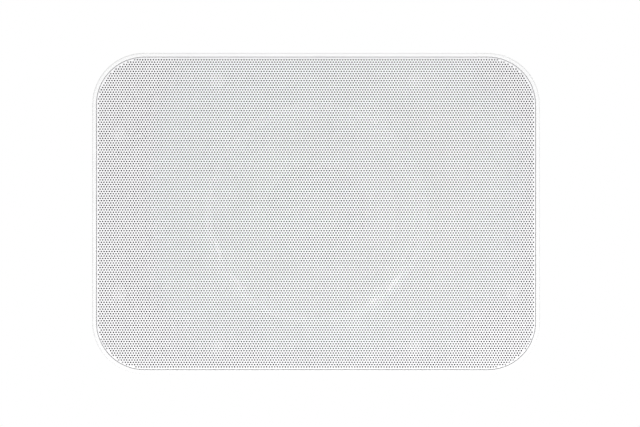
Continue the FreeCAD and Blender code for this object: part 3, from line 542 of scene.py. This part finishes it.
def screw_rings(screw, seat, towards, spin):
    """Rings of a round-headed screw from the floor of its cross recess to its tip."""
    top = seat - towards * screw.height
    cross = cross_outline(screw.head * RECESS_REACH, screw.head * RECESS_HALF_SLOT)
    outline = turned(cross, math.cos(spin), math.sin(spin))
    turns = [math.atan2(across, up) for across, up in outline]
    floor = top + towards * screw.height * RECESS_DEPTH
    rings = [
        [(across * RECESS_FLOOR, up * RECESS_FLOOR, floor) for across, up in outline],
        [(across, up, top) for across, up in outline],
    ]
    for width, drop in HEAD_DOME:
        rings.append(circle(turns, screw.head * width, top + towards * screw.height * drop))
    rings += [
        circle(turns, screw.head, seat - towards * screw.height * HEAD_EDGE),
        circle(turns, screw.head, seat),
        circle(turns, screw.shank, seat),
        circle(turns, screw.shank, seat + towards * (screw.length - screw.shank)),
        circle(turns, screw.shank * SHANK_TIP, seat + towards * screw.length),
    ]
    return rings


def build_screws(node, screw, seat, places, towards=1):
    """Every screw of one group, with the recess turned a little differently on each."""
    points, faces = [], []
    for i, (x, z) in enumerate(places):
        rings = screw_rings(screw, seat, towards, FIRST_SPIN + SPIN_STEP * i)
        skin(points, faces, rings, along_depth(x, z))
    screws = mesh_from(f"{node}_cross", points, faces)
    clean_mesh(screws)
    stand_for(screws, "speaker", node)


def corner_places(spacing, x=0.0):
    """The four corners of a rectangle about (x, 0)."""
    width, height = spacing
    return [(x + i * width / 2, k * height / 2) for i in (-1, 1) for k in (-1, 1)]


def hexagon_rings(turns, low, high):
    """Rings of a six-sided bar with both ends turned to a chamfer."""
    apothem = PIVOT_FLATS / 2
    inner, outer = [], []
    for turn in turns:
        radius = apothem / math.cos((turn + math.pi / 6) % (math.pi / 3) - math.pi / 6)
        drop = (radius - apothem * CHAMFER_START) * math.tan(CHAMFER_ANGLE)
        inner.append((radius * math.sin(turn), radius * math.cos(turn), low + drop))
        outer.append((radius * math.sin(turn), radius * math.cos(turn), high - drop))
    end_radius = apothem * CHAMFER_START
    return [circle(turns, end_radius, low), inner, outer, circle(turns, end_radius, high)]


def build_pivot_bolt(turns):
    """Bolt on the pivot line, with a six-sided head."""
    points, faces = [], []
    rings = hexagon_rings(turns, BOLT_HEAD_END, BOLT_HEAD_SEAT)
    rings += [
        circle(turns, BOLT_RADIUS, BOLT_HEAD_SEAT),
        circle(turns, BOLT_RADIUS, BOLT_TIP_START),
        circle(turns, BOLT_TIP_RADIUS, BOLT_END),
    ]
    skin(points, faces, rings, along_pivot)
    return mesh_from("pivot_bolt_hex", points, faces)


def build_pivot_nut(turns):
    """Lock nut on the pivot line, open through its bore."""
    points, faces = [], []
    rings = [circle(turns, NUT_BORE, NUT_END), circle(turns, NUT_BORE, NUT_SEAT)]
    rings += hexagon_rings(turns, NUT_SEAT, NUT_END)
    skin(points, faces, rings + rings[:1], along_pivot, capped=False)
    return mesh_from("pivot_nut_hex", points, faces)


def build_pivot():
    """Bolt and nut of the tilt joint."""
    turns = [math.tau * k / PIVOT_SEGMENTS for k in range(PIVOT_SEGMENTS)]
    pieces = {"pivot_bolt": build_pivot_bolt(turns), "pivot_nut": build_pivot_nut(turns)}
    for node, obj in pieces.items():
        clean_mesh(obj)
        stand_for(obj, "wall_mount", node)


def build_fasteners():
    """Screws of the baffle, driver, bracket and terminal cup, and the pivot."""
    grid = BAFFLE_SCREW_GRID
    rim = [(i * grid, k * grid) for i in (-1, 0, 1) for k in (-1, 1)]
    rim += [(-BAFFLE_SCREW_SIDE, 0.0), (BAFFLE_SCREW_SIDE, 0.0)]
    turns = [math.radians(360 / DRIVER_SCREW_COUNT * (k + 0.5)) for k in range(DRIVER_SCREW_COUNT)]
    ring = [(DRIVER_SCREW_CIRCLE * math.sin(turn), DRIVER_SCREW_CIRCLE * math.cos(turn)) for turn in turns]
    bracket = corner_places(BRACKET_SPACING)
    terminal = corner_places(TERMINAL_SPACING, TERMINAL_X)
    build_screws("baffle_screws", BAFFLE_SCREW, BAFFLE_FACE, rim)
    build_screws("driver_screws", DRIVER_SCREW, BAFFLE_FACE, ring)
    build_screws("bracket_screws", BRACKET_SCREW, BRACKET_FACE, bracket, towards=-1)
    build_screws("terminal_screws", TERMINAL_SCREW, TERMINAL_FACE, terminal, towards=-1)
    build_pivot()


# Materials

GRILLE_MAGNETS = 8


class Paint:
    """Principled material whose tone, roughness and relief come from procedural textures."""

    # Values of a texture that stand for its low and high end
    LOW = 0.3
    HIGH = 0.7

    def __init__(self, name, metallic=0.0, **sockets):
        self.material = bpy.data.materials.new(name)
        self.material.use_nodes = True
        self.tree = self.material.node_tree
        self.shader = self.tree.nodes["Principled BSDF"]
        self.shader.inputs["Metallic"].default_value = metallic
        for socket, value in sockets.items():
            self.shader.inputs[socket.replace("_", " ")].default_value = value
        self.place = self.tree.nodes.new("ShaderNodeTexCoord").outputs["Object"]
        self.normal = None

    def link(self, source, target):
        """Joins two sockets."""
        self.tree.links.new(source, target)

    def stretched(self, stretch):
        """Texture place scaled along each axis."""
        mapping = self.tree.nodes.new("ShaderNodeMapping")
        mapping.inputs["Scale"].default_value = stretch
        self.link(self.place, mapping.inputs["Vector"])
        return mapping.outputs["Vector"]

    def noise(self, scale, detail=3.0, stretch=None):
        """Cloudy texture."""
        node = self.tree.nodes.new("ShaderNodeTexNoise")
        node.inputs["Scale"].default_value = scale
        node.inputs["Detail"].default_value = detail
        place = self.stretched(stretch) if stretch else self.place
        self.link(place, node.inputs["Vector"])
        return node.outputs["Fac"]

    def cells(self, scale):
        """Pebbled texture."""
        node = self.tree.nodes.new("ShaderNodeTexVoronoi")
        node.inputs["Scale"].default_value = scale
        self.link(self.place, node.inputs["Vector"])
        return node.outputs["Distance"]

    def waves(self, scale, direction, distortion=0.0):
        """Parallel ridges across one axis."""
        node = self.tree.nodes.new("ShaderNodeTexWave")
        node.bands_direction = direction
        node.inputs["Scale"].default_value = scale
        node.inputs["Distortion"].default_value = distortion
        self.link(self.place, node.inputs["Vector"])
        return node.outputs["Fac"]

    def tone(self, value, low, high):
        """Colour between two tones."""
        ramp = self.tree.nodes.new("ShaderNodeValToRGB")
        for stop, position, colour in zip(ramp.color_ramp.elements, (self.LOW, self.HIGH), (low, high)):
            stop.position = position
            stop.color = (*colour, 1)
        self.link(value, ramp.inputs["Fac"])
        self.link(ramp.outputs["Color"], self.shader.inputs["Base Color"])

    def rough(self, value, low, high):
        """Roughness between two levels."""
        span = self.tree.nodes.new("ShaderNodeMapRange")
        span.inputs["From Min"].default_value = self.LOW
        span.inputs["From Max"].default_value = self.HIGH
        span.inputs["To Min"].default_value = low
        span.inputs["To Max"].default_value = high
        self.link(value, span.inputs["Value"])
        self.link(span.outputs["Result"], self.shader.inputs["Roughness"])

    def relief(self, value, depth, strength):
        """Bump of a given depth in metres, on top of any earlier one."""
        bump = self.tree.nodes.new("ShaderNodeBump")
        bump.inputs["Strength"].default_value = strength
        bump.inputs["Distance"].default_value = depth
        self.link(value, bump.inputs["Height"])
        if self.normal:
            self.link(self.normal, bump.inputs["Normal"])
        self.normal = bump.outputs["Normal"]
        self.link(self.normal, self.shader.inputs["Normal"])


def shade(colour, factor):
    """Colour made darker or paler."""
    return tuple(min(1.0, part * factor) for part in colour)


def coated(name, colour, roughness, peel=900):
    """Powder-coated metal: faint tone drift and orange peel."""
    paint = Paint(name, Specular_IOR_Level=0.4)
    paint.tone(paint.noise(scale=40), shade(colour, 0.98), shade(colour, 1.01))
    paint.rough(paint.noise(peel / 3), roughness - 0.05, roughness + 0.05)
    paint.relief(paint.noise(peel, detail=2), depth=0.03 * MM, strength=0.35)
    return paint.material


def moulded(name, colour, roughness, grain=2200):
    """Moulded plastic with a spark-eroded grain."""
    paint = Paint(name, Specular_IOR_Level=0.4)
    paint.tone(paint.noise(scale=30), shade(colour, 0.97), shade(colour, 1.015))
    paint.rough(paint.noise(grain / 4), roughness - 0.06, roughness + 0.06)
    paint.relief(paint.cells(grain), depth=0.04 * MM, strength=0.4)
    return paint.material


def gloss(name, colour, roughness, coat=0.3, coat_ior=1.5):
    """Polished moulded plastic with faint flow marks."""
    paint = Paint(name, Coat_Weight=coat, Coat_Roughness=0.08, Coat_IOR=coat_ior)
    paint.tone(paint.noise(scale=60), shade(colour, 0.9), shade(colour, 1.05))
    paint.rough(paint.noise(scale=300), roughness - 0.04, roughness + 0.06)
    paint.relief(paint.noise(scale=120, detail=1), depth=0.02 * MM, strength=0.2)
    return paint.material


def metal(name, colour, roughness, stretch=None):
    """Bare or plated metal with fine tool marks."""
    paint = Paint(name, metallic=1.0)
    marks = paint.noise(scale=800, detail=4, stretch=stretch)
    paint.tone(paint.noise(scale=120), shade(colour, 0.92), shade(colour, 1.04))
    paint.rough(marks, roughness - 0.08, roughness + 0.1)
    paint.relief(marks, depth=0.01 * MM, strength=0.25)
    return paint.material


def rubber(name, colour, roughness):
    """Rubber, foam or ferrite with a fine open grain."""
    paint = Paint(name, Specular_IOR_Level=0.35)
    paint.tone(paint.noise(scale=80), shade(colour, 0.85), shade(colour, 1.1))
    paint.rough(paint.noise(scale=500), roughness - 0.08, roughness + 0.1)
    paint.relief(paint.cells(scale=1500), depth=0.03 * MM, strength=0.4)
    return paint.material


def cloth(name, colour, thread):
    """Woven cloth with its threads as relief."""
    paint = Paint(name, Specular_IOR_Level=0.2)
    paint.tone(paint.noise(thread), shade(colour, 0.8), shade(colour, 1.1))
    paint.rough(paint.noise(scale=90), 0.75, 0.95)
    for direction in ("X", "Z"):
        paint.relief(paint.waves(thread, direction, distortion=0.5), depth=0.08 * MM, strength=0.5)
    return paint.material


def copper(name):
    """Enamelled winding: turns side by side along the depth."""
    paint = Paint(name, metallic=1.0, Coat_Weight=0.4)
    paint.tone(paint.noise(scale=400), (0.50, 0.20, 0.08), (0.66, 0.30, 0.13))
    paint.rough(paint.noise(scale=700), 0.28, 0.42)
    paint.relief(paint.waves(scale=450, direction="Y"), depth=0.15 * MM, strength=0.8)
    return paint.material


def coated_pieces():
    """Powder coats, with the pieces that have them."""
    grille = ["grille_perforated", "grille_hole_walls_left", "grille_hole_walls_right"]
    brackets = ["speaker_bracket", "wall_bracket"]
    screws = ["baffle_screws_cross", "driver_screws_cross"]
    return {
        coated("white_powder_coat", (0.934, 0.93, 0.943), 0.42): grille,
        coated("bracket_powder_coat", (0.86, 0.86, 0.85), 0.45, peel=700): brackets,
        coated("grey_zinc_coat", (0.07, 0.07, 0.072), 0.45): screws,
        coated("grey_frame_coat", (0.07, 0.07, 0.072), 0.5): ["driver_basket"],
    }


def moulded_pieces():
    """Grained plastics and other moulded bodies, with the pieces made of them."""
    return {
        moulded("white_cabinet_moulding", (0.92, 0.92, 0.922), 0.5): ["cabinet"],
        moulded("grey_baffle_moulding", (0.06, 0.06, 0.062), 0.6): ["front_baffle"],
        moulded("black_moulding", (0.035, 0.035, 0.036), 0.5): ["terminal_cup", "inductor_bobbin"],
        moulded("tweeter_pod_moulding", (0.035, 0.035, 0.037), 0.55, grain=3000): ["tweeter_waveguide"],
        moulded("cone_polymer", (0.12, 0.12, 0.122), 0.5, grain=1200): ["woofer_cone"],
        moulded("board_laminate", (0.03, 0.17, 0.08), 0.4): ["crossover_board"],
        moulded("cement_body", (0.75, 0.74, 0.70), 0.8, grain=900): ["crossover_resistor"],
        moulded("nylon", (0.78, 0.77, 0.72), 0.45): ["pivot_washers"],
    }


def glossy_pieces():
    """Glossy plastics, with the pieces made of them."""
    capacitors = ["woofer_capacitor", "tweeter_capacitor"]
    return {
        gloss("trim_ring_gloss", (0.05, 0.05, 0.052), 0.25, coat=1.0, coat_ior=2.1): ["woofer_trim_ring"],
        gloss("former_film", (0.40, 0.20, 0.05), 0.35): ["voice_coil_former"],
        gloss("capacitor_sleeve", (0.03, 0.05, 0.13), 0.3): capacitors,
        gloss("red_polycarbonate", (0.52, 0.02, 0.02), 0.25): ["positive_collar", "positive_thumb_nut"],
        gloss("black_polycarbonate", (0.02, 0.02, 0.02), 0.25): ["negative_collar", "negative_thumb_nut"],
    }


def metal_pieces():
    """Metals, with the pieces made of them."""
    magnets = [f"grille_magnet_{k + 1}" for k in range(GRILLE_MAGNETS)] + ["tweeter_magnet"]
    motor = ["top_plate", "pole_yoke", "tweeter_pot", "tweeter_pole_tip"]
    fasteners = ["tweeter_bolt", "board_screws", "bracket_screws_cross", "terminal_hex_nuts"]
    pivot = ["pivot_bolt_hex", "pivot_nut_hex"]
    windings = ["voice_coil_winding", "tweeter_voice_coil", "inductor_winding"]
    contacts = ["positive_post", "negative_post", "solder_tags"]
    turned = ["tweeter_cup", "tweeter_post"]
    return {
        metal("nickel_plate", (0.20, 0.20, 0.195), 0.6): magnets,
        metal("bright_zinc", (0.66, 0.67, 0.69), 0.3, stretch=(1, 6, 1)): motor + fasteners + pivot,
        metal("black_zinc", (0.09, 0.09, 0.095), 0.4): ["terminal_screws_cross"],
        metal("turned_aluminium", (0.75, 0.75, 0.77), 0.3, stretch=(1, 20, 1)): turned,
        metal("gold_plate", (0.90, 0.66, 0.28), 0.2): contacts,
        metal("insert_brass", (0.75, 0.56, 0.26), 0.35): ["threaded_inserts"],
        copper("copper_winding"): windings,
    }


def matt_pieces():
    """Rubber, foam, ferrite and cloth, with the pieces made of them."""
    gaskets = ["baffle_gasket", "driver_gasket", "terminal_gasket"]
    sectors = [f"spider_sector_{k + 1}" for k in range(SPIDER_SECTORS)]
    return {
        rubber("surround_rubber", (0.10, 0.10, 0.102), 0.5): ["surround_roll"],
        rubber("gasket_foam", (0.05, 0.05, 0.05), 0.85): gaskets,
        rubber("ferrite", (0.06, 0.06, 0.065), 0.7): ["ferrite_magnet"],
        cloth("dome_silk", (0.10, 0.10, 0.103), thread=1200): ["tweeter_dome"],
        cloth("spider_cloth", (0.42, 0.25, 0.09), thread=500): sectors,
    }


def paint_all():
    """Gives every shown piece its material."""
    table = {**coated_pieces(), **moulded_pieces(), **glossy_pieces(), **metal_pieces(), **matt_pieces()}
    materials = {piece: material for material, pieces in table.items() for piece in pieces}
    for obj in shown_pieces():
        if obj.name not in materials:
            raise RuntimeError(f"no material for {obj.name}")
        obj.data.materials.clear()
        obj.data.materials.append(materials[obj.name])


# Stage

WORLD_LIGHT = 0.58
WHITE = (1, 1, 1, 1)
FLOOR_CENTRE = (0, -0.1, -1.0)
FLOOR_RADIUS = 5.0
FLOOR_SEGMENTS = 96
FLOOR_FADE_START = 0.6
FLOOR_FADE_END = 4.8
GRILLE_CENTRE = (0, FRONT, 0)
WALL_CENTRE = (0, 0, 0)
# Width of the photograph in pixels, and the size of one of them on the grille
PHOTO_WIDTH = 640
PIXEL_SIZE = 0.75 * MM
CAMERA_DISTANCE = 1.3
CAMERA_X = 3.0 * MM
CAMERA_Z = -0.1 * MM
# The camera's sensor and lens are in millimetres
SENSOR_WIDTH = 36.0


def area_light(name, place, target, width, height, power, roll=0.0, highlights=True):
    """Soft light aimed at a point and turned about its own axis by a roll in degrees."""
    data = bpy.data.lights.new(name, "AREA")
    data.shape = "RECTANGLE"
    data.size = width
    data.size_y = height
    data.energy = power
    lamp = bpy.data.objects.new(name, data)
    lamp.location = place
    lamp.visible_glossy = highlights
    aim = (Vector(target) - Vector(place)).to_track_quat("-Z", "Y")
    lamp.rotation_euler = (aim @ Quaternion((0, 0, 1), math.radians(roll))).to_euler()
    bpy.context.scene.collection.objects.link(lamp)


def make_lights():
    """Two strips that glint on the dished trim ring, a low fill, a broad front light and one from behind."""
    front = GRILLE_CENTRE
    area_light("key", (-1.21, -3.2, 1.13), front, width=0.85, height=0.18, power=12, roll=51)
    area_light("side", (1.435, -3.2, 0.83), front, width=1.0, height=0.15, power=4.0, roll=-63)
    area_light("fill", (0.22, -0.72, -0.78), front, width=0.5, height=0.5, power=3.6, highlights=False)
    area_light("front", (0.1, -3.4, 0.3), front, width=2.2, height=2.2, power=16.5)
    area_light("back", (0.6, 1.6, 1.9), WALL_CENTRE, width=1.0, height=1.0, power=19)


def make_world():
    """Even studio light that shows as white behind the object and in reflections."""
    world = bpy.data.worlds.new("studio")
    bpy.context.scene.world = world
    world.use_nodes = True
    tree = world.node_tree
    light = tree.nodes["Background"]
    light.inputs["Color"].default_value = WHITE
    light.inputs["Strength"].default_value = WORLD_LIGHT
    white = tree.nodes.new("ShaderNodeBackground")
    white.inputs["Color"].default_value = WHITE
    white.inputs["Strength"].default_value = 1.0
    path = tree.nodes.new("ShaderNodeLightPath")
    choose = tree.nodes.new("ShaderNodeMixShader")
    seen = tree.nodes.new("ShaderNodeMath")
    seen.operation = "MAXIMUM"
    tree.links.new(path.outputs["Is Camera Ray"], seen.inputs[0])
    tree.links.new(path.outputs["Is Glossy Ray"], seen.inputs[1])
    tree.links.new(seen.outputs["Value"], choose.inputs["Fac"])
    tree.links.new(light.outputs["Background"], choose.inputs[1])
    tree.links.new(white.outputs["Background"], choose.inputs[2])
    tree.links.new(choose.outputs["Shader"], tree.nodes["World Output"].inputs["Surface"])


def floor_material():
    """Pale floor that turns white for the camera with the distance from its centre."""
    paint = Paint("pale_floor")
    paint.tone(paint.noise(scale=3), (0.86, 0.86, 0.86), (0.88, 0.88, 0.88))
    paint.rough(paint.noise(scale=30), 0.75, 0.85)
    nodes = paint.tree.nodes
    away = nodes.new("ShaderNodeVectorMath")
    away.operation = "LENGTH"
    paint.link(paint.place, away.inputs[0])
    fade = nodes.new("ShaderNodeMapRange")
    fade.interpolation_type = "SMOOTHSTEP"
    fade.inputs["From Min"].default_value = FLOOR_FADE_START
    fade.inputs["From Max"].default_value = FLOOR_FADE_END
    paint.link(away.outputs["Value"], fade.inputs["Value"])
    path = nodes.new("ShaderNodeLightPath")
    share = nodes.new("ShaderNodeMath")
    share.operation = "MULTIPLY"
    paint.link(fade.outputs["Result"], share.inputs[0])
    paint.link(path.outputs["Is Camera Ray"], share.inputs[1])
    white = nodes.new("ShaderNodeEmission")
    white.inputs["Strength"].default_value = 1.0
    choose = nodes.new("ShaderNodeMixShader")
    paint.link(share.outputs["Value"], choose.inputs["Fac"])
    paint.link(paint.shader.outputs["BSDF"], choose.inputs[1])
    paint.link(white.outputs["Emission"], choose.inputs[2])
    paint.link(choose.outputs["Shader"], nodes["Material Output"].inputs["Surface"])
    return paint.material


def make_floor():
    """Plain pale floor far below the speaker, which fades into the white around it."""
    bpy.ops.mesh.primitive_circle_add(
        vertices=FLOOR_SEGMENTS, radius=FLOOR_RADIUS, fill_type="NGON", location=FLOOR_CENTRE
    )
    floor = bpy.context.object
    floor.name = "floor"
    floor.data.materials.append(floor_material())


def make_camera():
    """Long lens straight in front of the grille, framed as the photograph is."""
    data = bpy.data.cameras.new("camera")
    data.sensor_width = SENSOR_WIDTH
    data.lens = SENSOR_WIDTH * CAMERA_DISTANCE / (PHOTO_WIDTH * PIXEL_SIZE)
    camera = bpy.data.objects.new("camera", data)
    camera.location = (CAMERA_X, FRONT - CAMERA_DISTANCE, CAMERA_Z)
    camera.rotation_euler = (math.radians(90), 0, 0)
    bpy.context.scene.collection.objects.link(camera)
    bpy.context.scene.camera = camera


build_grille()
build_surround()
build_spider()
build_fasteners()
paint_all()
make_world()
make_floor()
make_lights()
make_camera()
bpy.context.scene.view_settings.view_transform = "Standard"
